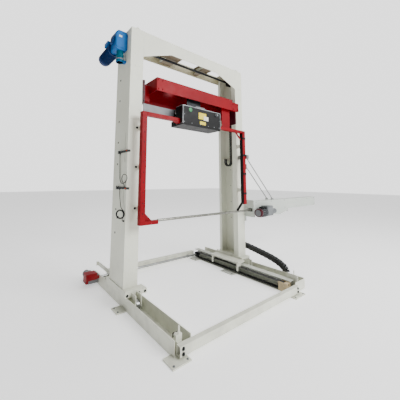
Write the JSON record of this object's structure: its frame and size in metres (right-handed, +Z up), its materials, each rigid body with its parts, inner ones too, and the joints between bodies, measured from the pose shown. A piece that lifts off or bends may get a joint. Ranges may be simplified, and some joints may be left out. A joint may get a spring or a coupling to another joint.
{
  "type": "travelling portal pallet strapping machine",
  "caption": "Portal on floor rails that travels over a pallet; its head rides up and down, with strap guides and a horizontal lance to pass strap through the load.",
  "frame": {"origin": "middle of the machine's whole footprint, on the floor", "axes": "+Z up; +X along the portal from the lift motor column towards the lance beam's end; +Y along the floor rails towards the travel motor end"},
  "size_m": [4.219, 2.218, 3.15],
  "materials": {
    "cream_paint": "off-white semi-gloss powder coat, dusty on top faces",
    "red_paint": "carmine red semi-gloss paint",
    "blue_paint": "bright blue gearbox paint",
    "dark_blue_paint": "blue motor paint",
    "black_paint": "satin black paint",
    "grey_paint": "light grey machine paint",
    "dark_steel": "blackened steel",
    "bare_steel": "ground bare steel",
    "dark_casting": "dark cast aluminium",
    "black_plastic": "matte black polyamide",
    "black_rubber": "matte black rubber",
    "tan_block": "tan cast nylon"
  },
  "bodies": {
    "base": {"left_rail_beam": "cream_paint", "right_rail_beam": "cream_paint", "belt_channel": "cream_paint", "front_cross_tube": "cream_paint", "rear_cross_tube": "cream_paint", "front_stop_left": "cream_paint", "front_stop_right": "cream_paint", "belt_tension_block": "tan_block", "travel_belt": "black_rubber", "travel_gearmotor": "grey_paint", "travel_motor_guard": "red_paint", "travel_cable_chain": "black_plastic"},
    "travel_drive": {"travel_shaft": "bare_steel", "travel_drive_pulley": "dark_steel"},
    "travel_idler": {"travel_idler_pulley": "dark_steel"},
    "portal": {"left_bogie": "cream_paint", "right_bogie": "cream_paint", "left_column": "cream_paint", "right_column": "cream_paint", "crossbeam": "cream_paint", "lift_gearbox": "blue_paint", "lift_motor": "dark_blue_paint", "lift_belt_left": "black_rubber", "lift_belt_right": "black_rubber", "lift_cable_chain": "black_plastic", "strap_guide_left": "red_paint", "strap_guide_right": "red_paint", "strap_liner_right": "black_plastic", "lance_beam": "grey_paint", "lance_bracket": "grey_paint", "lance_gearbox": "grey_paint", "lance_motor": "grey_paint", "lance_motor_fan_cover": "red_paint", "lance_stay_front": "bare_steel", "lance_stay_rear": "bare_steel", "sensor_arm_upper": "dark_steel", "sensor_arm_lower": "dark_steel", "sensor_cable_upper": "black_rubber", "sensor_cable_lead": "black_rubber", "sensor_cable_coil": "black_rubber", "sensor_cable_tail": "black_rubber"},
    "wheel_left_front": {"left_front_wheel": "bare_steel"},
    "wheel_left_rear": {"left_rear_wheel": "bare_steel"},
    "wheel_right_front": {"right_front_wheel": "bare_steel"},
    "wheel_right_rear": {"right_rear_wheel": "bare_steel"},
    "lift_drive": {"lift_shaft": "dark_steel"},
    "carriage": {"carriage_frame": "red_paint", "guide_shoe_left": "black_plastic", "guide_shoe_right": "black_plastic", "head_mount_bar": "grey_paint", "head_base_tray": "black_paint", "head_cover": "black_paint", "head_body": "dark_casting", "head_hanger": "grey_paint", "strap_guide_top_left": "red_paint", "strap_guide_top_right": "red_paint"},
    "feed_roller": {"feed_wheel": "bare_steel"},
    "pinch_roller": {"pinch_wheel": "bare_steel"},
    "lance": {"lance_rod": "bare_steel"},
    "lance_drive": {"lance_drive_roller": "dark_steel"}
  },
  "joints": [
    {"name": "portal_travel", "type": "slide", "parent": "base", "child": "portal", "axis": [0, 1, 0], "range_m": [-0.57, 0.13], "deforming": ["travel_cable_chain"]},
    {"name": "travel_shaft_turn", "type": "hinge", "parent": "base", "child": "travel_drive", "pos_m": [-0.2305, 0.657, 0.07], "axis": [1, 0, 0], "range_deg": [-198, 856]},
    {"name": "travel_idler_turn", "type": "hinge", "parent": "base", "child": "travel_idler", "pos_m": [-0.2055, -0.883, 0.07], "axis": [1, 0, 0], "range_deg": [-198, 856]},
    {"name": "wheel_left_front_turn", "type": "hinge", "parent": "portal", "child": "wheel_left_front", "pos_m": [-1.8325, -0.249, 0.064], "axis": [1, 0, 0], "range_deg": [-139, 597]},
    {"name": "wheel_left_rear_turn", "type": "hinge", "parent": "portal", "child": "wheel_left_rear", "pos_m": [-1.8325, 0.338, 0.064], "axis": [1, 0, 0], "range_deg": [-139, 597]},
    {"name": "wheel_right_front_turn", "type": "hinge", "parent": "portal", "child": "wheel_right_front", "pos_m": [-0.0225, -0.249, 0.064], "axis": [1, 0, 0], "range_deg": [-139, 597]},
    {"name": "wheel_right_rear_turn", "type": "hinge", "parent": "portal", "child": "wheel_right_rear", "pos_m": [-0.0225, 0.338, 0.064], "axis": [1, 0, 0], "range_deg": [-139, 597]},
    {"name": "carriage_lift", "type": "slide", "parent": "portal", "child": "carriage", "axis": [0, 0, 1], "range_m": [-0.9, 0.12], "deforming": ["lift_belt_left", "lift_belt_right", "lift_cable_chain"]},
    {"name": "lift_shaft_turn", "type": "hinge", "parent": "portal", "child": "lift_drive", "pos_m": [-0.9305, 0.047, 2.97], "axis": [1, 0, 0], "range_deg": [-149, 1094]},
    {"name": "feed_wheel_turn", "type": "hinge", "parent": "carriage", "child": "feed_roller", "pos_m": [-1.2625, -0.163, 2.112], "axis": [0, 1, 0], "continuous": true},
    {"name": "pinch_wheel_turn", "type": "hinge", "parent": "carriage", "child": "pinch_roller", "pos_m": [-1.2625, -0.163, 2.182], "axis": [0, 1, 0], "continuous": true},
    {"name": "lance_slide", "type": "slide", "parent": "portal", "child": "lance", "axis": [1, 0, 0], "range_m": [0, 1.55]},
    {"name": "lance_roller_turn", "type": "hinge", "parent": "portal", "child": "lance_drive", "pos_m": [0.3695, -0.263, 0.9203], "axis": [0, 1, 0], "range_deg": [-2964, 3]}
  ],
  "couplings": [
    {"joint": "travel_shaft_turn", "follows": "portal_travel", "rad_per_m": -26.11},
    {"joint": "travel_idler_turn", "follows": "portal_travel", "rad_per_m": -26.11},
    {"joint": "wheel_left_front_turn", "follows": "portal_travel", "rad_per_m": -18.182},
    {"joint": "wheel_left_rear_turn", "follows": "portal_travel", "rad_per_m": -18.182},
    {"joint": "wheel_right_front_turn", "follows": "portal_travel", "rad_per_m": -18.182},
    {"joint": "wheel_right_rear_turn", "follows": "portal_travel", "rad_per_m": -18.182},
    {"joint": "lift_shaft_turn", "follows": "carriage_lift", "rad_per_m": -21.142},
    {"joint": "lance_roller_turn", "follows": "lance_slide", "rad_per_m": -33.333},
    {"joint": "pinch_wheel_turn", "follows": "feed_wheel_turn", "ratio": -1}
  ]
}
